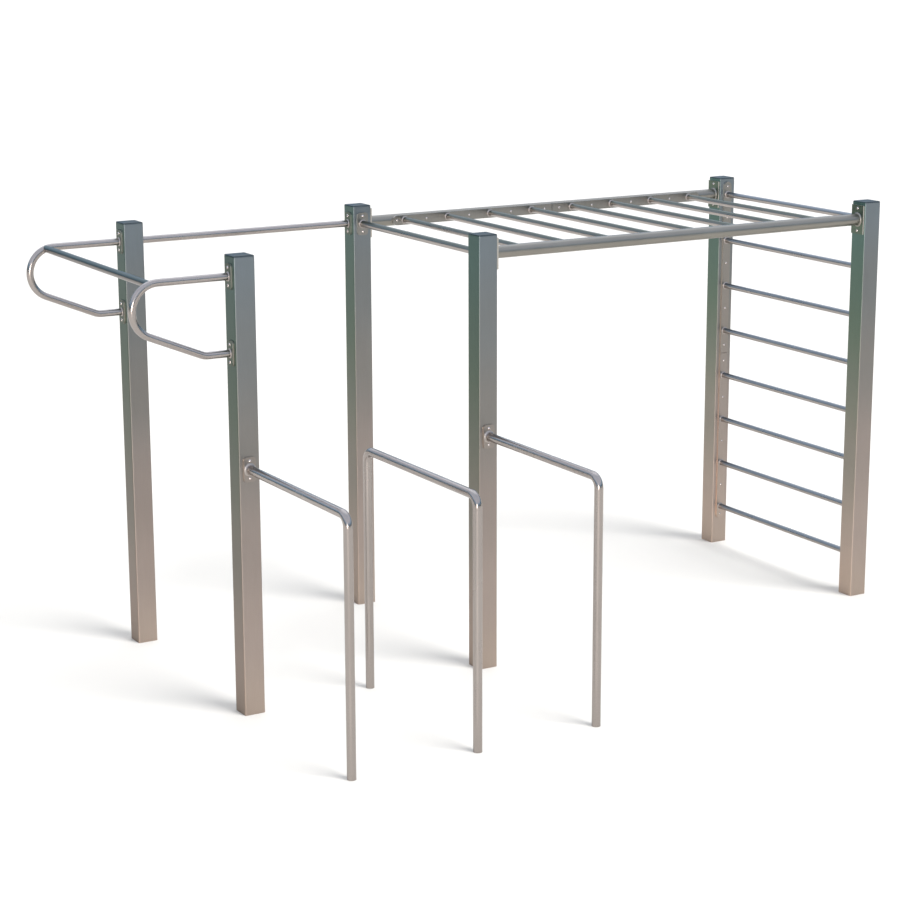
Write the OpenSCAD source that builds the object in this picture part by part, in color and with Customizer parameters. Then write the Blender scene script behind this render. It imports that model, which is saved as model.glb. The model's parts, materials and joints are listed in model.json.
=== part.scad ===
// Stainless steel climbing and calisthenics station: six square posts, a high bar,
// two outrigger loops, an overhead ladder, a wall-bar ladder and three dip rails.
// X runs along the station, the back row is at +Y, the dip rails reach towards -Y.

/* [Layout] */
// Distance between the outer and the middle posts, centre to centre
bar_span = 1475; // [1200:5:1800]
// Distance between the back row and the front row of posts, centre to centre
row_width = 1460; // [1200:10:1700]
// Distance from one rung to the next, on both ladders
rung_pitch = 305; // [280:1:320]
// Height of the posts above the ground, to the rim of their caps
post_height = 2500; // [2450:10:2700]
// Height of the axis of every high bar, stringer and top rung
bar_z = 2390; // [2350:5:2400]

/* [Posts and caps] */
// Width of a square post
post_w = 120; // [110:1:125]
// Wall of a post
post_wall = 4; // [3:0.5:5]
// Outer corner radius of a post
post_r = 8; // [6:1:12]
// Thickness of a cap at its rim
cap_rim = 8; // [6:1:10]
// Rise of the domed cap from its corners to its middle
cap_crown = 5; // [2:1:8]

/* [High bars and loops] */
// Outside diameter of the high bars, the loops and their crossbar
bar_d = 40; // [38:0.1:42.4]
// Wall of the high bars and the loops
bar_wall = 3; // [2:0.5:4]
// Reach of a loop from the post axis to its outermost tube axis
loop_reach = 605; // [560:5:700]
// Bend radius of a loop's big turn
loop_r = 144; // [130:1:150]
// Slope of a loop's lower leg below the horizontal, in degrees
loop_slope = 22.784; // [20:0.001:25]
// Bend radius where the lower leg turns into the post
loop_toe_r = 100; // [80:5:120]
// Height of the lower flange of a loop
loop_low_z = 1985; // [1950:5:2000]
// How far round a loop's big turn the crossbar meets it, in degrees
crossbar_turn = 18; // [5:1:30]

/* [Stringers and ladders] */
// Outside diameter of a stringer
stringer_d = 70; // [68:0.1:76.1]
// Wall of a stringer
stringer_wall = 3; // [2.5:0.5:4]
// Outside diameter of a rung
rung_d = 35; // [32:0.1:38]
// Wall of a rung
rung_wall = 2.5; // [2:0.5:3]
// Width of a ladder strip, whose outer end is a half circle
strip_w = 60; // [56:1:64]
// Thickness of a ladder strip
strip_t = 8; // [6:1:10]

/* [Dip rails] */
// Outside diameter of a dip rail
rail_d = 48.3; // [45:0.1:50]
// Wall of a dip rail
rail_wall = 3; // [2:0.5:4]
// Height of the axis of the dip rails
rail_z = 1365; // [1200:5:1450]
// Reach of the dip rails from the front row of posts to their outer legs
rail_reach = 1165; // [900:5:1300]
// Bend radius of a dip rail
rail_r = 60; // [55:1:100]

/* [Flanges and plates] */
// Width of a bar flange
flange_w = 70; // [60:1:74]
// Height of a bar flange
flange_h = 135; // [130:1:140]
// Thickness of a bar flange
flange_t = 8; // [6:1:10]
// Corner radius of a bar flange
flange_r = 18; // [10:1:29]
// Width of a stringer end plate
plate_w = 106; // [100:1:108]
// Height of a stringer end plate
plate_h = 176; // [170:1:180]
// Thickness of a stringer end plate
plate_t = 10; // [8:1:12]

/* [Hidden] */
$fn = 48;
steel = [0.62, 0.62, 0.60];
bright_steel = [0.75, 0.75, 0.74];

post_half = post_w / 2;
row_half = row_width / 2;
ladder_span = 9 * rung_pitch;
rungs_per_module = 4;
rung_count = 2 * rungs_per_module;

// Screw rows of the flanges and plates, above and below the bar axis
flange_hole = 47;
plate_hole = 68;
// Screw marks of a ladder strip, measured from its first rung
strip_end_mark = 54;
strip_joint_mark = 98;
strip_joint_gap = 3;

// Metric screws: [thread, head width, head height, hex key, clearance hole, rivet nut]
M8 = [8, 14, 4.4, 5, 9, 11];
M10 = [10, 17.5, 5.5, 6, 11, 13];
thread_gap = 0.1;
nut_grip = 12;
nut_bulge = 5;
screw_past_nut = 2;

// Cap spigot inside the post
spigot_gap = 0.3;
spigot_wall = 3;
spigot_depth = 20;
cut = 1;

// The bounding box centre, which becomes the origin
low_x = -bar_span - loop_reach - bar_d / 2;
high_x = ladder_span + post_half;
low_y = -row_half - rail_reach - rail_d / 2;
high_y = row_half + post_half;
centre_x = (low_x + high_x) / 2;
centre_y = (low_y + high_y) / 2;

// Loop geometry in its own plane: u outward from the post axis, v up
loop_turn = 180 - loop_slope;
loop_c = [loop_reach - loop_r, bar_z - loop_r];
loop_exit = loop_c + loop_r * [sin(loop_slope), -cos(loop_slope)];
toe_rise = loop_toe_r * (1 - cos(loop_slope));
leg_len = round((loop_exit.y - loop_low_z - toe_rise) / sin(loop_slope) * 100) / 100;
toe_start = loop_exit - leg_len * [cos(loop_slope), sin(loop_slope)];
toe_c = [toe_start.x - loop_toe_r * sin(loop_slope), loop_low_z + loop_toe_r];
crossbar = loop_c + loop_r * [sin(crossbar_turn), cos(crossbar_turn)];

// Where the bar ends meet their flanges, from the post axis
bar_end = post_half + flange_t;
plate_end = post_half + plate_t;
stringer_face = row_half - stringer_d / 2;
wall_face = row_half - post_half;

// Post axes: the outer pair, the middle pair and the far pair
back = row_half;
front = -row_half;
outer = -bar_span;
middle = 0;
far = ladder_span;

// A fastener is [point on the supporting face, outward direction, clamped thickness, screw]
pair = [-1, 1];
high_bar_fasteners = [
    for (end = [[outer, 1], [middle, -1]], s = pair)
        [[end[0] + end[1] * post_half, back, bar_z + s * flange_hole],
         [end[1], 0, 0], flange_t, M10]
];
middle_bar_fasteners = [
    for (side = pair, s = pair)
        [[middle, side * wall_face, bar_z + s * flange_hole],
         [0, -side, 0], flange_t, M10]
];
loop_fasteners = [
    for (row = [back, front], z = [bar_z, loop_low_z], s = pair)
        [[outer - post_half, row, z + s * flange_hole], [-1, 0, 0], flange_t, M10]
];
dip_rail_fasteners = [
    for (x = [outer, middle], s = pair)
        [[x, front - post_half, rail_z + s * flange_hole], [0, -1, 0], flange_t, M10]
];
stringer_fasteners = [
    for (end = [[middle, 1], [far, -1]], row = [back, front], s = pair)
        [[end[0] + end[1] * post_half, row, bar_z + s * plate_hole],
         [end[1], 0, 0], plate_t, M10]
];
strip_marks = [
    -strip_end_mark,
    for (i = [0 : rungs_per_module - 2]) (i + 0.5) * rung_pitch,
    (rungs_per_module - 1) * rung_pitch + strip_joint_mark
];
overhead_fasteners = [
    for (side = pair, m = strip_marks, x = [rung_pitch + m, ladder_span - rung_pitch - m])
        [[x, side * stringer_face, bar_z], [0, -side, 0], strip_t, M8]
];
lowest_rung_z = bar_z - (rung_count - 1) * rung_pitch;
wall_fasteners = [
    for (side = pair, m = strip_marks, z = [bar_z - m, lowest_rung_z + m])
        [[far, side * wall_face, z], [0, -side, 0], strip_t, M8]
];
post_fasteners = concat(high_bar_fasteners, middle_bar_fasteners, loop_fasteners,
    dip_rail_fasteners, stringer_fasteners, wall_fasteners);

// Moves the layout so that its bounding box is centred on the origin
module place() translate([-centre_x, -centre_y, 0]) children();

// Puts local +Z along a horizontal outward direction, with local +Y upwards
module facing(point, dir) {
    translate(point) rotate([90, 0, atan2(dir.x, -dir.y)]) children();
}

// Flat shape with round corners, from two bars and four discs
module rounded(w, h, r) {
    square([w - 2 * r, h], center = true);
    square([w, h - 2 * r], center = true);
    for (x = pair, y = pair)
        translate([x * (w / 2 - r), y * (h / 2 - r)]) circle(r);
}

module ring(d, wall) {
    difference() {
        circle(d = d);
        circle(d = d - 2 * wall);
    }
}

module pipe(d, wall, len) linear_extrude(len) ring(d, wall);

// A bend about local Z, from angle a0 through angle turn
module elbow(d, wall, r, a0, turn) {
    rotate([0, 0, a0]) rotate_extrude(angle = turn) translate([r, 0]) ring(d, wall);
}

// A straight pipe in the local XY plane, from one point at an angle
module run(from, angle, len, d, wall) {
    translate(from) rotate([0, 0, angle]) rotate([0, 90, 0]) pipe(d, wall, len);
}

// ---- posts and caps ----

module post(x, y) {
    own = [for (f = post_fasteners) if (norm([f[0].x - x, f[0].y - y]) < post_w) f];
    color(steel) place() difference() {
        translate([x, y, 0]) linear_extrude(post_height - cap_rim) difference() {
            rounded(post_w, post_w, post_r);
            rounded(post_w - 2 * post_wall, post_w - 2 * post_wall, post_r - post_wall);
        }
        for (f = own)
            facing(f[0], f[1]) translate([0, 0, -post_wall - cut])
                cylinder(d = f[3][5], h = post_wall + 2 * cut);
    }
}

// A shallow spherical dome of the given foot radius, on a round base
module dome(foot, rise, base) {
    dome_r = (foot * foot + rise * rise) / (2 * rise);
    rotate_extrude() intersection() {
        translate([0, base + rise - dome_r]) circle(dome_r, $fn = 720);
        square([foot, base + rise]);
    }
}

module cap(x, y) {
    spigot_w = post_w - 2 * post_wall - 2 * spigot_gap;
    color(steel) place() translate([x, y, post_height - cap_rim]) {
        intersection() {
            linear_extrude(cap_rim + cap_crown) rounded(post_w, post_w, post_r);
            dome(post_half * sqrt(2), cap_crown, cap_rim);
        }
        translate([0, 0, -spigot_depth]) linear_extrude(spigot_depth) difference() {
            rounded(spigot_w, spigot_w, post_r - post_wall);
            rounded(spigot_w - 2 * spigot_wall, spigot_w - 2 * spigot_wall, cut);
        }
    }
}

// ---- flanges, plates and fasteners ----

module end_plate(point, dir, w, h, t, r, hole_z) {
    facing(point, dir) linear_extrude(t) difference() {
        rounded(w, h, r);
        for (s = pair) translate([0, s * hole_z]) circle(d = M10[4]);
    }
}

module bar_flange(point, dir) {
    end_plate(point, dir, flange_w, flange_h, flange_t, flange_r, flange_hole);
}

module stringer_plate(point, dir) {
    end_plate(point, dir, plate_w, plate_h, plate_t, cut, plate_hole);
}

// Button-head screw with a hex socket, its head on the clamped plate
module screw(fastener) {
    size = fastener[3];
    head_r = size[1] / 2;
    head_h = size[2];
    dome_r = (head_r * head_r + head_h * head_h) / (2 * head_h);
    shank = fastener[2] + post_wall + nut_grip + screw_past_nut;
    color(bright_steel) place() facing(fastener[0], fastener[1]) translate([0, 0, fastener[2]])
        difference() {
            union() {
                intersection() {
                    cylinder(r = head_r, h = head_h);
                    translate([0, 0, head_h - dome_r]) sphere(dome_r);
                }
                translate([0, 0, -shank]) cylinder(d = size[0] - thread_gap, h = shank);
            }
            translate([0, 0, head_h * 0.35]) cylinder(d = size[3] * 2 / sqrt(3), h = head_h, $fn = 6);
        }
}

// Blind rivet nut, set in the post or stringer wall and bulged behind it
module rivet_nut(fastener) {
    size = fastener[3];
    color(bright_steel) place() facing(fastener[0], fastener[1]) difference() {
        translate([0, 0, -post_wall]) {
            cylinder(d = size[5], h = post_wall);
            translate([0, 0, -nut_bulge]) cylinder(d = size[5] + nut_bulge, h = nut_bulge);
            translate([0, 0, -nut_grip]) cylinder(d = size[5], h = nut_grip);
        }
        translate([0, 0, -post_wall - nut_grip - cut])
            cylinder(d = size[0], h = post_wall + nut_grip + 2 * cut);
    }
}

module screws(list) for (f = list) screw(f);

module rivet_nuts(list) for (f = list) rivet_nut(f);

// ---- high bars ----

module high_bar() {
    color(steel) place() translate([outer, back, bar_z]) rotate([0, 90, 0])
        translate([0, 0, bar_end]) pipe(bar_d, bar_wall, bar_span - 2 * bar_end);
}

module high_bar_flanges() {
    color(steel) place() {
        bar_flange([outer + post_half, back, bar_z], [1, 0, 0]);
        bar_flange([middle - post_half, back, bar_z], [-1, 0, 0]);
    }
}

module middle_bar() {
    color(steel) place() translate([middle, back, bar_z]) rotate([90, 0, 0])
        translate([0, 0, bar_end]) pipe(bar_d, bar_wall, row_width - 2 * bar_end);
}

module middle_bar_flanges() {
    color(steel) place() for (side = pair)
        bar_flange([middle, side * wall_face, bar_z], [0, -side, 0]);
}

// ---- outrigger loops ----

// The plane of a loop: local X outward from the outer post, local Y upwards
module loop_plane(y) translate([outer, y, 0]) rotate([90, 0, 180]) children();

// Drawn from the big turn's centre, each piece in the frame where the last one ends
module loop_tube() {
    translate([loop_c.x, loop_c.y, 0]) rotate([0, 0, loop_slope - 90]) {
        elbow(bar_d, bar_wall, loop_r, 0, loop_turn);
        rotate([0, 0, loop_turn]) translate([loop_r, 0, 0])
            rotate([-90, 0, 0]) pipe(bar_d, bar_wall, loop_c.x - bar_end);
        translate([loop_r, 0, 0]) rotate([90, 0, 0]) pipe(bar_d, bar_wall, leg_len);
        translate([loop_r - loop_toe_r, -leg_len, 0]) loop_toe();
    }
}

// The turn into the lower flange, about its own bend centre
module loop_toe() {
    elbow(bar_d, bar_wall, loop_toe_r, 0, -loop_slope);
    rotate([0, 0, -loop_slope]) translate([loop_toe_r, 0, 0])
        rotate([90, 0, 0]) pipe(bar_d, bar_wall, toe_c.x - bar_end);
}

module loop(y) color(steel) place() loop_plane(y) loop_tube();

// The crossbar is saddle-cut to the loops' outer surface at both ends
module loop_crossbar() {
    color(steel) place() difference() {
        translate([outer - crossbar.x, back, crossbar.y]) rotate([90, 0, 0])
            pipe(bar_d, bar_wall, row_width);
        for (y = [back, front]) loop_plane(y) translate([loop_c.x, loop_c.y, 0])
            rotate_extrude() translate([loop_r, 0]) circle(d = bar_d);
    }
}

module loop_flanges() {
    color(steel) place() for (y = [back, front], z = [bar_z, loop_low_z])
        bar_flange([outer - post_half, y, z], [-1, 0, 0]);
}

// ---- stringers ----

module stringer(y) {
    own = [for (f = overhead_fasteners) if (f[0].y * y > 0) f];
    color(steel) place() difference() {
        translate([plate_end, y, bar_z]) rotate([0, 90, 0])
            pipe(stringer_d, stringer_wall, ladder_span - 2 * plate_end);
        for (f = own)
            facing(f[0], f[1]) translate([0, 0, -stringer_d / 4])
                cylinder(d = f[3][5], h = stringer_d / 4 + cut);
    }
}

module stringer_plates(x, dir) {
    color(steel) place() for (y = [back, front])
        stringer_plate([x + dir * post_half, y, bar_z], [dir, 0, 0]);
}

// ---- ladders: two modules each, mirrored about the middle ----

// A strip from its round end to its square end, with its screw holes
module strip_shape() {
    last = (rungs_per_module - 0.5) * rung_pitch - strip_joint_gap / 2;
    difference() {
        union() {
            translate([-strip_end_mark, 0]) circle(d = strip_w);
            translate([-strip_end_mark, -strip_w / 2]) square([last + strip_end_mark, strip_w]);
        }
        for (m = strip_marks) translate([m, 0]) circle(d = M8[4]);
    }
}

// Both strips of a module, from the first rung at the given angle about Y
module strips(start, angle, face) {
    color(steel) place() translate(start) rotate([0, angle, 0])
        for (y = [face, strip_t - face])
            translate([0, y, 0]) rotate([90, 0, 0]) linear_extrude(strip_t) strip_shape();
}

module rungs(start, angle, face) {
    len = 2 * (face - strip_t);
    color(steel) place() translate(start) rotate([0, angle, 0])
        for (i = [0 : rungs_per_module - 1])
            translate([i * rung_pitch, len / 2, 0]) rotate([90, 0, 0])
                pipe(rung_d, rung_wall, len);
}

near_start = [rung_pitch, 0, bar_z];
far_start = [ladder_span - rung_pitch, 0, bar_z];
upper_start = [far, 0, bar_z];
lower_start = [far, 0, lowest_rung_z];

// ---- dip rails ----

// The plane of a dip rail: local X outward from the front row, local Y upwards
module rail_plane(x) translate([x, front, 0]) rotate([90, 0, -90]) children();

module rail_outer_end() {
    translate([rail_reach - rail_r, rail_z - rail_r, 0]) elbow(rail_d, rail_wall, rail_r, 0, 90);
    run([rail_reach, 0, 0], 90, rail_z - rail_r, rail_d, rail_wall);
}

module dip_rail(x) {
    color(steel) place() rail_plane(x) {
        run([bar_end, rail_z, 0], 0, rail_reach - rail_r - bar_end, rail_d, rail_wall);
        rail_outer_end();
    }
}

module dip_rail_free() {
    color(steel) place() rail_plane((outer + middle) / 2) {
        run([0, 0, 0], 90, rail_z - rail_r, rail_d, rail_wall);
        translate([rail_r, rail_z - rail_r, 0]) elbow(rail_d, rail_wall, rail_r, 90, 90);
        run([rail_r, rail_z, 0], 0, rail_reach - 2 * rail_r, rail_d, rail_wall);
        rail_outer_end();
    }
}

module dip_rail_flanges() {
    color(steel) place() for (x = [outer, middle])
        bar_flange([x, front - post_half, rail_z], [0, -1, 0]);
}

post(outer, back);  // post_outer_back
post(outer, front);  // post_outer_front
post(middle, back);  // post_middle_back
post(middle, front);  // post_middle_front
post(far, back);  // post_far_back
post(far, front);  // post_far_front
cap(outer, back);  // cap_outer_back
cap(outer, front);  // cap_outer_front
cap(middle, back);  // cap_middle_back
cap(middle, front);  // cap_middle_front
cap(far, back);  // cap_far_back
cap(far, front);  // cap_far_front
high_bar();
high_bar_flanges();
middle_bar();
middle_bar_flanges();
loop(back);  // loop_back
loop(front);  // loop_front
loop_crossbar();
loop_flanges();
stringer(back);  // stringer_back
stringer(front);  // stringer_front
stringer_plates(middle, 1);  // stringer_plates_middle
stringer_plates(far, -1);  // stringer_plates_far
strips(near_start, 0, stringer_face);  // overhead_strips_near
rungs(near_start, 0, stringer_face);  // overhead_rungs_near
strips(far_start, 180, stringer_face);  // overhead_strips_far
rungs(far_start, 180, stringer_face);  // overhead_rungs_far
strips(upper_start, 90, wall_face);  // wall_strips_upper
rungs(upper_start, 90, wall_face);  // wall_rungs_upper
strips(lower_start, -90, wall_face);  // wall_strips_lower
rungs(lower_start, -90, wall_face);  // wall_rungs_lower
dip_rail(outer);  // dip_rail_outer
dip_rail(middle);  // dip_rail_middle
dip_rail_free();
dip_rail_flanges();
screws(high_bar_fasteners);  // high_bar_screws
screws(middle_bar_fasteners);  // middle_bar_screws
screws(loop_fasteners);  // loop_screws
screws(dip_rail_fasteners);  // dip_rail_screws
screws(stringer_fasteners);  // stringer_screws
screws(overhead_fasteners);  // overhead_screws
screws(wall_fasteners);  // wall_screws
rivet_nuts(high_bar_fasteners);  // high_bar_rivet_nuts
rivet_nuts(middle_bar_fasteners);  // middle_bar_rivet_nuts
rivet_nuts(loop_fasteners);  // loop_rivet_nuts
rivet_nuts(dip_rail_fasteners);  // dip_rail_rivet_nuts
rivet_nuts(stringer_fasteners);  // stringer_rivet_nuts
rivet_nuts(overhead_fasteners);  // overhead_rivet_nuts
rivet_nuts(wall_fasteners);  // wall_rivet_nuts
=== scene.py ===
# Stainless steel climbing station: finishes, welds, rounded caps, studio and camera
import json
import math

import bmesh
import bpy
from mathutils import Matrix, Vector

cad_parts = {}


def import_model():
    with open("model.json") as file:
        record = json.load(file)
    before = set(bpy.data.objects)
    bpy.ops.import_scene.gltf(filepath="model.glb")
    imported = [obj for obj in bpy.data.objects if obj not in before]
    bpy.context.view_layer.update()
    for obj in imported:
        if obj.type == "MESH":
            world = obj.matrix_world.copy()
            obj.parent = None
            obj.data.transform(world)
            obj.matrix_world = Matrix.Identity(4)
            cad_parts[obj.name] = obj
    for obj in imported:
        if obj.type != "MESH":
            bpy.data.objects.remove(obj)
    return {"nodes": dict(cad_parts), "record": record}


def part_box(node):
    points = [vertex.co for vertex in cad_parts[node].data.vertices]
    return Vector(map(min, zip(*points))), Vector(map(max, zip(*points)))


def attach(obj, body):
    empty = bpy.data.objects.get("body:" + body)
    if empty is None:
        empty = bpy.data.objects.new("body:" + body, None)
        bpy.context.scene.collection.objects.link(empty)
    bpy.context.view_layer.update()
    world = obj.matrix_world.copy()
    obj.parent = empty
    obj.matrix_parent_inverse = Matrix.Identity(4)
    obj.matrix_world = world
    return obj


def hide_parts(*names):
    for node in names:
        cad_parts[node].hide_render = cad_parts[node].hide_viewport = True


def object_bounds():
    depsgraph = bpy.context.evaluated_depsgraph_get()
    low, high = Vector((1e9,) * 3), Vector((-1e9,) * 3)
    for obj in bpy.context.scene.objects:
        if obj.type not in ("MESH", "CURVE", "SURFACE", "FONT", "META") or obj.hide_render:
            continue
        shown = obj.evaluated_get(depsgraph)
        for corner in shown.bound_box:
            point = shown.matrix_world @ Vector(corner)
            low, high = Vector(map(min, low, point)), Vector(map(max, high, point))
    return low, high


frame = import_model()
cad_low, cad_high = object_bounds()
NODES = frame["nodes"]
SUBPARTS = frame["record"]["subparts"]
X, Y, Z = 0, 1, 2

# Camera: where it looks, from which side in degrees, how far away and through which lens
CAM_TARGET = Vector((-0.1746, 0.0921, 1.1995))
CAM_AZIMUTH = -31.31
CAM_ELEVATION = 13.47
CAM_DISTANCE = 13.172
CAM_LENS = 91.3
CAM_SENSOR = 36
CAM_SHIFT_X = -0.04
CAM_CLIP_END = 300

# Radii of the posts' corners and of the tubes, in metres
POST_RADIUS = 0.008
BAR_RADIUS = 0.020
RAIL_RADIUS = 0.02415
STRINGER_RADIUS = 0.035
RUNG_RADIUS = 0.0175

# Caps, in metres: the rolled edge, the rim's side, the crown above it and the seam below it
CAP_EDGE = 0.0068
CAP_RIM = 0.008
CAP_CROWN = 0.005
CAP_SEAM = 0.0008
# The lip under the rim, and the plug that goes down into the post
CAP_LIP_INSET, CAP_LIP_RISE = 0.0012, 0.001
CAP_PLUG_INSET, CAP_PLUG_DEPTH = 0.0045, 0.006
CAP_LEAST_RADIUS = 0.002
# The crown's rings, as shares of its width, and its corner radius at the edge and in the middle
CROWN_SHARES = (0.94, 0.85, 0.7, 0.5, 0.3, 0.12)
CROWN_EDGE_RADIUS, CROWN_MIDDLE_RADIUS = 0.003, 0.004

# Welds, in metres: the legs, how far a weld goes into its tube, and how far behind its face
RAIL_WELD_LEG = 0.012
WELD_LEG = 0.006
RUNG_WELD_LEG = 0.007
STRINGER_WELD_LEG = 0.009
WELD_OVERLAP = 0.001
WELD_SINK = 0.0005
# Ripples round a weld, and how much each one changes the leg
WELD_RIPPLES, WELD_RIPPLE_SHARE = 9, 0.02

# Softened edges of the flat plates
PLATE_EDGE = 0.0016
PLATE_EDGE_SEGMENTS = 2
PLATE_EDGE_ANGLE = math.radians(50)
# Edges sharper than this aren't shaded smooth
SMOOTH_ANGLE = math.radians(40)


# ---- node-graph helpers ----

def graph(owner):
    """The emptied node tree of a material or a world."""
    owner.use_nodes = True
    tree = owner.node_tree
    tree.nodes.clear()
    return tree


def add(tree, kind, **settings):
    node = tree.nodes.new(kind)
    for name, value in settings.items():
        setattr(node, name, value)
    return node


def link(tree, source, target):
    tree.links.new(source, target)


def feed(tree, value, socket):
    """Link a socket, or set a constant on it."""
    if hasattr(value, "is_output"):
        link(tree, value, socket)
    else:
        socket.default_value = value


def finish_material(tree, shader):
    out = add(tree, "ShaderNodeOutputMaterial")
    link(tree, shader.outputs[0], out.inputs["Surface"])


def ramp(tree, factor, stops, interpolation="EASE"):
    node = add(tree, "ShaderNodeValToRGB")
    scale = node.color_ramp
    scale.interpolation = interpolation
    while len(scale.elements) > 1:
        scale.elements.remove(scale.elements[-1])
    scale.elements[0].position = stops[0][0]
    scale.elements[0].color = (*stops[0][1], 1)
    for position, colour in stops[1:]:
        scale.elements.new(position).color = (*colour, 1)
    link(tree, factor, node.inputs["Fac"])
    return node.outputs["Color"]


def math_node(tree, operation, *values):
    node = add(tree, "ShaderNodeMath", operation=operation)
    for socket, value in zip(node.inputs, values):
        feed(tree, value, socket)
    return node.outputs[0]


def split(tree, vector):
    node = add(tree, "ShaderNodeSeparateXYZ")
    link(tree, vector, node.inputs[0])
    return node.outputs


def scaled(tree, vector, scale):
    node = add(tree, "ShaderNodeMapping")
    link(tree, vector, node.inputs["Vector"])
    node.inputs["Scale"].default_value = scale
    return node.outputs["Vector"]


def noise(tree, vector, scale, detail):
    node = add(tree, "ShaderNodeTexNoise")
    link(tree, vector, node.inputs["Vector"])
    node.inputs["Scale"].default_value = scale
    node.inputs["Detail"].default_value = detail
    node.inputs["Roughness"].default_value = NOISE_ROUGHNESS
    return node.outputs["Fac"]


def map_range(tree, value, low, high, to_low, to_high):
    node = add(tree, "ShaderNodeMapRange")
    link(tree, value, node.inputs["Value"])
    for name, number in zip(("From Min", "From Max", "To Min", "To Max"), (low, high, to_low, to_high)):
        node.inputs[name].default_value = number
    return node.outputs["Result"]


def multiply(tree, colour, factor):
    """Scale a colour by a number."""
    node = add(tree, "ShaderNodeVectorMath", operation="SCALE")
    link(tree, colour, node.inputs[0])
    link(tree, factor, node.inputs["Scale"])
    return node.outputs[0]


def tint(tree, colour, factor):
    """Multiply a colour by another, channel by channel."""
    node = add(tree, "ShaderNodeVectorMath", operation="MULTIPLY")
    link(tree, colour, node.inputs[0])
    feed(tree, factor, node.inputs[1])
    return node.outputs[0]


def mix(tree, factor, a, b):
    node = add(tree, "ShaderNodeMix", data_type="RGBA")
    link(tree, factor, node.inputs["Factor"])
    feed(tree, a, node.inputs["A"])
    feed(tree, b, node.inputs["B"])
    return node.outputs["Result"]


# ---- stainless steel ----

# Tone of the satin steel by height, a painted reflection of warm ground and cool sky: warm near the ground,
# cooler at the top
SATIN_REFLECTION_TONES = [
    (0.00, (0.435, 0.353, 0.299)),
    (0.18, (0.387, 0.318, 0.281)),
    (0.38, (0.333, 0.282, 0.254)),
    (0.60, (0.252, 0.238, 0.221)),
    (0.80, (0.213, 0.222, 0.221)),
    (1.00, (0.203, 0.231, 0.249)),
]
# What the -X faces, which look away from the sun, keep of that tone: greener higher up
SHADE_TONES = [
    (0.06, (0.85, 0.82, 0.79)),
    (0.36, (0.63, 0.68, 0.64)),
    (0.52, (0.56, 0.65, 0.57)),
    (0.70, (0.43, 0.59, 0.47)),
    (0.92, (0.40, 0.59, 0.49)),
]
# Flat bar and flanges stay warmer than the posts high up; their tone by height is a painted reflection too
PLATE_REFLECTION_TONES = [
    (0.00, (0.435, 0.353, 0.299)),
    (0.40, (0.340, 0.290, 0.260)),
    (0.60, (0.285, 0.255, 0.230)),
    (1.00, (0.265, 0.255, 0.235)),
]
PLATE_SHADE = [(0.50, (0.70, 0.72, 0.60)), (0.80, (0.34, 0.46, 0.38))]
# Drawn tube is nearly one tone all the way up
TUBE_TONE = [(0.0, (0.362, 0.326, 0.304)), (1.0, (0.368, 0.333, 0.314))]
STRINGER_TONE = [(0.0, (0.265, 0.250, 0.222))]
# What a face that looks up keeps of its tone: a painted dark reflection
CAP_TOP_REFLECTION = (0.11, 0.14, 0.13)
OVERHEAD_TOP_REFLECTION = (0.25, 0.33, 0.29)
WALL_RUNG_TOP_REFLECTION = (0.50, 0.64, 0.76)
CROSSBAR_TOP_REFLECTION = (0.45, 0.60, 0.55)
# How much brighter the thin sides of the flat bar and flanges are: a painted highlight
RIM_PAINTED_HIGHLIGHT = (1.9, 1.85, 1.8)
# What the shade tone is multiplied by at the loops' end and at the wall bars' end
SHADE_ALONG = (0.74, 1.34)

# Cosines of a face's direction at which it starts to take on a tone, and has all of it
SHADE_FACING = (-0.35, -0.95)
TOP_REFLECTION_FACING = (0.0, 0.7)
RIM_HIGHLIGHT_FACING = (0.85, 0.35)

# Blotches are long up the post; streaks are close together across the brushing and long along it
NOISE_ROUGHNESS = 0.55
NOISE_BAND = (0.3, 0.7)
BLOTCH_STRETCH, BLOTCH_SCALE, BLOTCH_DETAIL = (1.0, 1.0, 0.45), 3.2, 4
STREAK_SCALE, STREAK_DETAIL = 6.0, 3
SPECKLE_DETAIL = 2
ACROSS, ALONG = 60, 1.2
STREAKS_X = (ALONG, ACROSS, ACROSS)
STREAKS_Y = (ACROSS, ALONG, ACROSS)
STREAKS_Z = (ACROSS, ACROSS, ALONG)
# How much each of them changes the tone
BLOTCH_TONE = (0.94, 1.06)
SPECKLE_TONE = (0.965, 1.035)
STREAK_TONE = (0.975, 1.025)
# Depth of the relief in metres, and how fine the grain is
RELIEF_DEPTH = 0.0006
SATIN_GRAIN, TUBE_GRAIN, SCREW_GRAIN, WELD_GRAIN = 320, 420, 500, 260


def facing_tone(tree, colour, axis, limits, factor, both_ways=False):
    """Paint shade, reflection and highlight by facing: tint the colour the more a face looks along an axis,
    from one cosine to another.
    """
    normal = add(tree, "ShaderNodeNewGeometry").outputs["Normal"]
    cosine = split(tree, normal)[axis]
    if both_ways:
        cosine = math_node(tree, "ABSOLUTE", cosine)
    facing = map_range(tree, cosine, *limits, 0, 1)
    return mix(tree, facing, colour, tint(tree, colour, factor))


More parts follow.
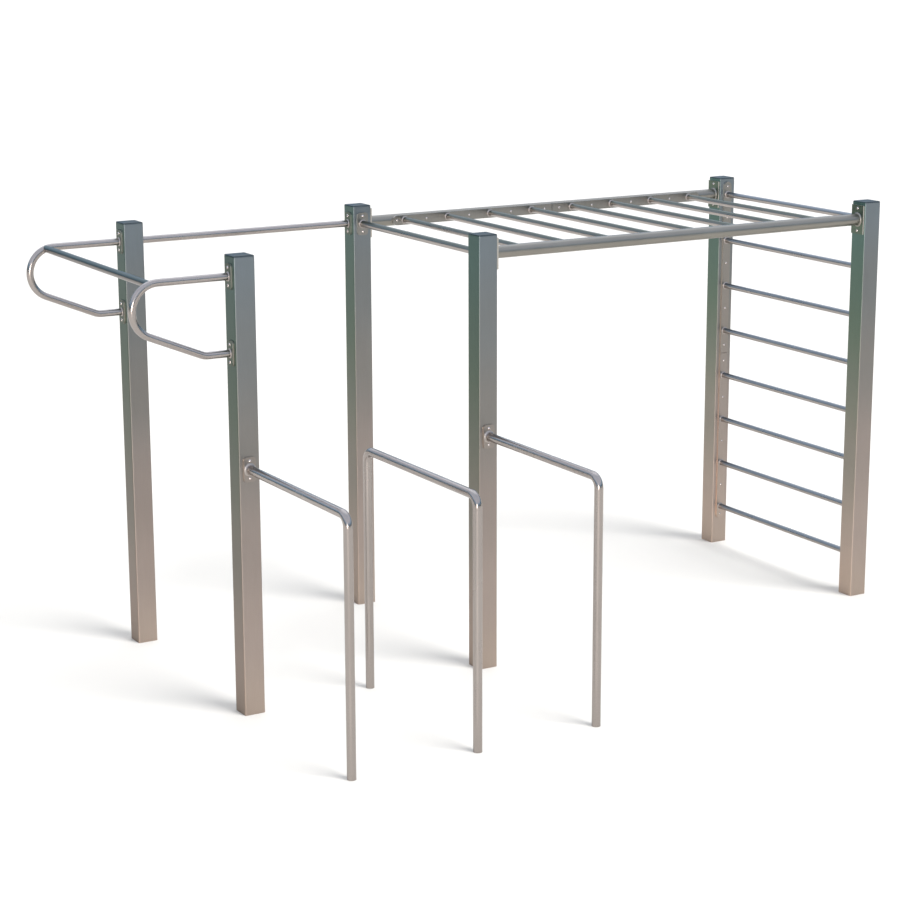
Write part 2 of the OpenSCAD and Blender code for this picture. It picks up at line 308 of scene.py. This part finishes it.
def steel(name, tones, roughness, spread=0.04, grain=SATIN_GRAIN, streaks=STREAKS_Z,
          shade=None, top=None, highlight_axis=None, bump=0.12):
    """Metal whose tone follows height as a painted reflection, with soft blotches, fine grain and brushed
    streaks; painted shade, dark reflection and highlight follow a face's direction.
    """
    material = bpy.data.materials.new(name)
    tree = graph(material)
    coords = add(tree, "ShaderNodeTexCoord").outputs["Object"]
    place = split(tree, coords)
    level = map_range(tree, place["Z"], cad_low.z, cad_high.z, 0, 1)
    # Tone by height: painted reflection
    colour = ramp(tree, level, tones)
    if shade:
        along = map_range(tree, place["X"], cad_low.x, cad_high.x, *SHADE_ALONG)
        kept = multiply(tree, ramp(tree, level, shade), along)
        colour = facing_tone(tree, colour, "X", SHADE_FACING, kept)
    # Faces that look up are darkened: painted dark reflection
    if top:
        colour = facing_tone(tree, colour, "Z", TOP_REFLECTION_FACING, top)
    # Thin sides lightened: painted highlight
    if highlight_axis:
        colour = facing_tone(tree, colour, highlight_axis, RIM_HIGHLIGHT_FACING, RIM_PAINTED_HIGHLIGHT, both_ways=True)

    blotch = noise(tree, scaled(tree, coords, BLOTCH_STRETCH), BLOTCH_SCALE, BLOTCH_DETAIL)
    speckle = noise(tree, coords, grain, SPECKLE_DETAIL)
    streak = noise(tree, scaled(tree, coords, streaks), STREAK_SCALE, STREAK_DETAIL)
    tone = math_node(
        tree, "MULTIPLY",
        map_range(tree, blotch, *NOISE_BAND, *BLOTCH_TONE),
        map_range(tree, speckle, *NOISE_BAND, *SPECKLE_TONE),
    )
    tone = math_node(tree, "MULTIPLY", tone, map_range(tree, streak, *NOISE_BAND, *STREAK_TONE))
    rough = map_range(tree, blotch, *NOISE_BAND, roughness - spread, roughness + spread)
    relief = add(tree, "ShaderNodeBump")
    relief.inputs["Strength"].default_value = bump
    relief.inputs["Distance"].default_value = RELIEF_DEPTH
    link(tree, math_node(tree, "ADD", speckle, streak), relief.inputs["Height"])

    shader = add(tree, "ShaderNodeBsdfPrincipled")
    link(tree, multiply(tree, colour, tone), shader.inputs["Base Color"])
    shader.inputs["Metallic"].default_value = 1.0
    link(tree, rough, shader.inputs["Roughness"])
    link(tree, relief.outputs["Normal"], shader.inputs["Normal"])
    finish_material(tree, shader)
    return material


def tube_steel(name, tones, roughness, grain=TUBE_GRAIN, bump=0.02, **settings):
    """Drawn tube: an even, finer finish."""
    return steel(name, tones, roughness, spread=0.03, grain=grain, bump=bump, **settings)


def rung_steel(name, tones, roughness, top):
    return tube_steel(name, tones, roughness, bump=0.008, streaks=STREAKS_Y, top=top)


def weld_steel(name, tones, roughness):
    return steel(name, tones, roughness, grain=WELD_GRAIN, bump=0.05)


def toned(tones, factor):
    """The same tones, lighter or darker."""
    return [(at, tuple(min(1.0, c * factor) for c in rgb)) for at, rgb in tones]


# Posts and caps take the satin tone by height, a painted reflection
POST = steel("post_satin", SATIN_REFLECTION_TONES, 0.42, shade=SHADE_TONES)
# Cap tops darkened: painted dark reflection
CAP = steel("cap_satin", SATIN_REFLECTION_TONES, 0.36, shade=SHADE_TONES, top=CAP_TOP_REFLECTION)
TUBE = tube_steel("tube_polished", TUBE_TONE, 0.26)
STRINGER = steel("stringer_satin", STRINGER_TONE, 0.42, streaks=STREAKS_X, bump=0.03)
# Rungs, middle bar and crossbar darkened on their upper sides: painted dark reflection
RUNG = rung_steel("rung_polished", TUBE_TONE, 0.29, WALL_RUNG_TOP_REFLECTION)
OVERHEAD_RUNG = rung_steel("rung_dull", TUBE_TONE, 0.30, OVERHEAD_TOP_REFLECTION)
CROSSBAR = rung_steel("crossbar_dull", toned(TUBE_TONE, 0.5), 0.30, CROSSBAR_TOP_REFLECTION)
# Plates and flanges: painted highlight on their thin sides
PLATE = steel("plate_satin", PLATE_REFLECTION_TONES, 0.38, highlight_axis="Y", bump=0.06)
SIDE_PLATE = steel(
    "side_plate_satin", PLATE_REFLECTION_TONES, 0.38, shade=PLATE_SHADE, highlight_axis="X", bump=0.06,
)
# Screw heads much lighter than the tube: painted highlight
SCREW = tube_steel("screw_bright", toned(TUBE_TONE, 1.7), 0.25, grain=SCREW_GRAIN)
# Welds a little lighter than their tubes: painted highlight on the flare
WELD = weld_steel("weld_dressed", toned(TUBE_TONE, 1.1), 0.46)
STRINGER_WELD = weld_steel("stringer_weld_dressed", toned(STRINGER_TONE, 1.15), 0.44)
NUT = steel("nut_plain", toned(TUBE_TONE, 1.2), 0.40)

SLOT_MATERIALS = {
    "post": POST, "cap": CAP, "tube": TUBE, "stringer": STRINGER,
    "rung": RUNG, "plate": PLATE, "screw": SCREW, "nut": NUT,
}
# Nodes that look different from the rest of their slot
NODE_MATERIALS = {
    "loop_flanges": SIDE_PLATE, "high_bar_flanges": SIDE_PLATE,
    "stringer_plates_middle": SIDE_PLATE, "stringer_plates_far": SIDE_PLATE,
    "overhead_rungs_near": OVERHEAD_RUNG, "overhead_rungs_far": OVERHEAD_RUNG,
    "middle_bar": OVERHEAD_RUNG, "loop_crossbar": CROSSBAR,
}
for part in SUBPARTS:
    mesh = NODES[part["node"]].data
    mesh.materials.clear()
    by_slot = SLOT_MATERIALS[part["material_slot"]]
    mesh.materials.append(NODE_MATERIALS.get(part["node"], by_slot))


# ---- making pieces ----

def place_object(name, data):
    obj = bpy.data.objects.new(name, data)
    bpy.context.scene.collection.objects.link(obj)
    return obj


def piece(name, bm, material):
    mesh = bpy.data.meshes.new(name)
    bmesh.ops.recalc_face_normals(bm, faces=bm.faces)
    bm.to_mesh(mesh)
    bm.free()
    mesh.materials.append(material)
    for polygon in mesh.polygons:
        polygon.use_smooth = True
    mesh.set_sharp_from_angle(angle=SMOOTH_ANGLE)
    obj = place_object(name, mesh)
    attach(obj, "root")
    return obj


def bridge(bm, rings, closed=False):
    """Faces between each ring of vertices and the next, and from last to first if closed."""
    pairs = list(zip(rings, rings[1:])) + ([(rings[-1], rings[0])] if closed else [])
    for a, b in pairs:
        count = len(a)
        for i in range(count):
            j = (i + 1) % count
            bm.faces.new((a[i], a[j], b[j], b[i]))


# ---- caps ----

def rounded_square(half, radius, steps=8):
    """Outline of a square of the given half width with round corners."""
    points = []
    for quarter in range(4):
        cx = half - radius if quarter in (0, 3) else radius - half
        cy = half - radius if quarter in (0, 1) else radius - half
        for i in range(steps + 1):
            a = math.radians(90 * quarter + 90 * i / steps)
            points.append((cx + radius * math.cos(a), cy + radius * math.sin(a)))
    return points


def cap(node, edge_steps=6):
    """A pressed cap with a rolled edge and a low crown, above a fine seam on the post."""
    low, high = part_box(node)
    centre = (low + high) / 2
    half = (high.x - low.x) / 2
    shoulder = high.z - CAP_CROWN
    bottom = high.z - CAP_CROWN - CAP_RIM + CAP_SEAM
    bm = bmesh.new()

    def ring(half_width, radius, z):
        outline = rounded_square(half_width, radius)
        return [bm.verts.new((centre.x + x, centre.y + y, z)) for x, y in outline]

    profile = [
        (CAP_PLUG_INSET, bottom - CAP_PLUG_DEPTH),
        (CAP_PLUG_INSET, bottom),
        (CAP_LIP_INSET, bottom),
        (0.0, bottom + CAP_LIP_RISE),
    ]
    for i in range(edge_steps + 1):
        a = math.radians(90 * i / edge_steps)
        profile.append((CAP_EDGE * (1 - math.cos(a)), shoulder - CAP_EDGE * (1 - math.sin(a))))
    rings = [ring(half - inset, max(POST_RADIUS - inset, CAP_LEAST_RADIUS), z) for inset, z in profile]
    for share in CROWN_SHARES:
        radius = CROWN_EDGE_RADIUS * share + CROWN_MIDDLE_RADIUS * (1 - share)
        rise = CAP_CROWN * (1 - share ** 2)
        rings.append(ring((half - CAP_EDGE) * share, radius, shoulder + rise))
    bridge(bm, rings)
    bm.faces.new(rings[-1])
    bm.faces.new(list(reversed(rings[0])))
    obj = piece(node + "_rounded", bm, CAP)
    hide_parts(node)


for node_name in [n for n in NODES if n.startswith("cap_")]:
    cap(node_name)


# ---- welds ----

def fillet(bm, point, axis, radius, leg, segments=48, steps=8):
    """A concave weld ring round a level tube, from the face at point out along axis."""
    side = axis.cross(Vector((0, 0, 1)))
    up = axis.cross(side)
    profile = [(radius - WELD_OVERLAP, -WELD_SINK), (radius + leg, -WELD_SINK)]
    for i in range(steps + 1):
        a = math.radians(90 * i / steps)
        profile.append((radius + leg * (1 - math.sin(a)), leg * (1 - math.cos(a))))
    profile.append((radius - WELD_OVERLAP, leg))
    rings = []
    for r, along in profile:
        ring = []
        for k in range(segments):
            t = 2 * math.pi * k / segments
            ripple = WELD_RIPPLE_SHARE * math.sin(WELD_RIPPLES * t)
            spread = radius + (r - radius) * (1 + ripple * (r - radius) / leg)
            ring.append(bm.verts.new(point + axis * along + (side * math.cos(t) + up * math.sin(t)) * spread))
        rings.append(ring)
    bridge(bm, rings, closed=True)


def tube_welds(name, ends, radius, leg, material=WELD):
    """One piece with a weld at each end, given as a point and the direction from there into the tube."""
    bm = bmesh.new()
    for point, direction in ends:
        fillet(bm, point, direction, radius, leg)
    piece(name, bm, material)


def bar_ends(node, axis):
    """Both ends of a straight tube along one axis, each with the direction into the tube."""
    low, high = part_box(node)
    centre = (low + high) / 2
    for end, sign in ((low, 1), (high, -1)):
        point = centre.copy()
        point[axis] = end[axis]
        direction = Vector((0, 0, 0))
        direction[axis] = sign
        yield point, direction


def loop_ends(node):
    """The upper and the lower end of a loop, on its post."""
    low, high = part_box(node)
    y = (low.y + high.y) / 2
    for z in (high.z - BAR_RADIUS, low.z + BAR_RADIUS):
        yield Vector((high.x, y, z)), Vector((-1, 0, 0))


def rail_end(node):
    """The end of a dip rail on its post."""
    low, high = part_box(node)
    x = (low.x + high.x) / 2
    yield Vector((x, high.y, high.z - RAIL_RADIUS)), Vector((0, -1, 0))


def rung_ends(node, axis, count=4):
    """Both ends of each rung of a module whose rungs are stacked along one axis."""
    low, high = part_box(node)
    first, last = low[axis] + RUNG_RADIUS, high[axis] - RUNG_RADIUS
    for i in range(count):
        point = (low + high) / 2
        point[axis] = first + (last - first) * i / (count - 1)
        for y, sign in ((low.y, 1), (high.y, -1)):
            end = point.copy()
            end.y = y
            yield end, Vector((0, sign, 0))


tube_welds("high_bar_welds", bar_ends("high_bar", X), BAR_RADIUS, WELD_LEG)
tube_welds("middle_bar_welds", bar_ends("middle_bar", Y), BAR_RADIUS, WELD_LEG)
for row in ("back", "front"):
    tube_welds(
        f"stringer_{row}_welds", bar_ends(f"stringer_{row}", X), STRINGER_RADIUS,
        STRINGER_WELD_LEG, STRINGER_WELD,
    )
for row in ("back", "front"):
    tube_welds(f"loop_{row}_welds", loop_ends(f"loop_{row}"), BAR_RADIUS, WELD_LEG)
for rail in ("outer", "middle"):
    tube_welds(f"dip_rail_{rail}_weld", rail_end(f"dip_rail_{rail}"), RAIL_RADIUS, RAIL_WELD_LEG)
for ladder, half_name, axis in (
    ("overhead", "near", X), ("overhead", "far", X), ("wall", "upper", Z), ("wall", "lower", Z),
):
    tube_welds(
        f"{ladder}_{half_name}_welds", rung_ends(f"{ladder}_rungs_{half_name}", axis),
        RUNG_RADIUS, RUNG_WELD_LEG,
    )


# ---- softened edges on the flat plates ----

for part in SUBPARTS:
    if part["material_slot"] == "plate":
        bevel = NODES[part["node"]].modifiers.new("edges", "BEVEL")
        bevel.width = PLATE_EDGE
        bevel.segments = PLATE_EDGE_SEGMENTS
        bevel.limit_method = "ANGLE"
        bevel.angle_limit = PLATE_EDGE_ANGLE
        bevel.harden_normals = False


# ---- studio ----

# What polished steel mirrors, by the sine of the angle above the horizon
SKY = [
    (0.00, (0.09, 0.11, 0.08)),
    (0.09, (0.12, 0.16, 0.14)),
    (0.17, (0.22, 0.40, 0.62)),
    (0.28, (0.36, 0.68, 1.02)),
    (0.44, (1.05, 1.10, 1.26)),
    (1.00, (0.88, 1.00, 1.20)),
]
# The soft light from all round, and what the camera sees behind the object
SKY_GLOW = (0.55, 0.57, 0.60, 1)
WALL = (1.0, 1.0, 1.0, 1)
FLOOR_HALF_WIDTH = 120.0
FLOOR_TONE = (0.86, 0.85, 0.83, 1)
FLOOR_ROUGHNESS = 0.9
FLOOR_SPECULAR = 0.1


def floor():
    mesh = bpy.data.meshes.new("studio_floor")
    s = FLOOR_HALF_WIDTH
    mesh.from_pydata([(-s, -s, 0), (s, -s, 0), (s, s, 0), (-s, s, 0)], [], [(0, 1, 2, 3)])
    material = bpy.data.materials.new("pale_floor")
    tree = graph(material)
    shader = add(tree, "ShaderNodeBsdfPrincipled")
    shader.inputs["Base Color"].default_value = FLOOR_TONE
    shader.inputs["Roughness"].default_value = FLOOR_ROUGHNESS
    shader.inputs["Specular IOR Level"].default_value = FLOOR_SPECULAR
    finish_material(tree, shader)
    mesh.materials.append(material)
    obj = place_object("studio_floor", mesh)


def world():
    """A plain pale studio; polished steel also mirrors a dark low band under a blue sky."""
    sky = bpy.data.worlds.new("studio_sky")
    bpy.context.scene.world = sky
    tree = graph(sky)
    direction = add(tree, "ShaderNodeTexCoord").outputs["Generated"]
    mirrored = ramp(tree, split(tree, direction)["Z"], SKY, "LINEAR")
    rays = add(tree, "ShaderNodeLightPath").outputs
    colour = mix(tree, rays["Is Glossy Ray"], SKY_GLOW, mirrored)
    colour = mix(tree, rays["Is Camera Ray"], colour, WALL)
    background = add(tree, "ShaderNodeBackground")
    link(tree, colour, background.inputs["Color"])
    out = add(tree, "ShaderNodeOutputWorld")
    link(tree, background.outputs[0], out.inputs["Surface"])


def direction_from(azimuth, elevation):
    """The direction toward a light or the camera, from angles in degrees."""
    a, e = math.radians(azimuth), math.radians(elevation)
    return Vector((math.sin(a) * math.cos(e), -math.cos(a) * math.cos(e), math.sin(e)))


def sun(name, azimuth, elevation, energy, angle, colour, mirrored=True):
    """A broad soft light from a direction measured like the camera's."""
    light = bpy.data.lights.new(name, "SUN")
    light.energy = energy
    light.angle = math.radians(angle)
    light.color = colour
    obj = place_object(name, light)
    obj.visible_glossy = mirrored
    back = direction_from(azimuth, elevation)
    obj.rotation_euler = (-back).to_track_quat("-Z", "Y").to_euler()


def camera():
    data = bpy.data.cameras.new("camera")
    data.lens = CAM_LENS
    data.sensor_width = CAM_SENSOR
    data.shift_x = CAM_SHIFT_X
    data.clip_end = CAM_CLIP_END
    obj = place_object("camera", data)
    back = direction_from(CAM_AZIMUTH, CAM_ELEVATION)
    obj.location = CAM_TARGET + back * CAM_DISTANCE
    obj.rotation_mode = "QUATERNION"
    obj.rotation_quaternion = (-back).to_track_quat("-Z", "Y")
    bpy.context.scene.camera = obj


floor()
world()
# The key light isn't mirrored in the steel; the low one lights the edges that face the camera
sun("key", azimuth=25, elevation=50, energy=2.7, angle=30, colour=(1.0, 0.975, 0.94), mirrored=False)
sun("fill", azimuth=150, elevation=55, energy=0.5, angle=60, colour=(0.97, 0.985, 1.0))
sun("edge", azimuth=-35, elevation=2, energy=1.8, angle=14, colour=(1.0, 0.90, 0.82))
camera()
bpy.context.scene.view_settings.view_transform = "Standard"
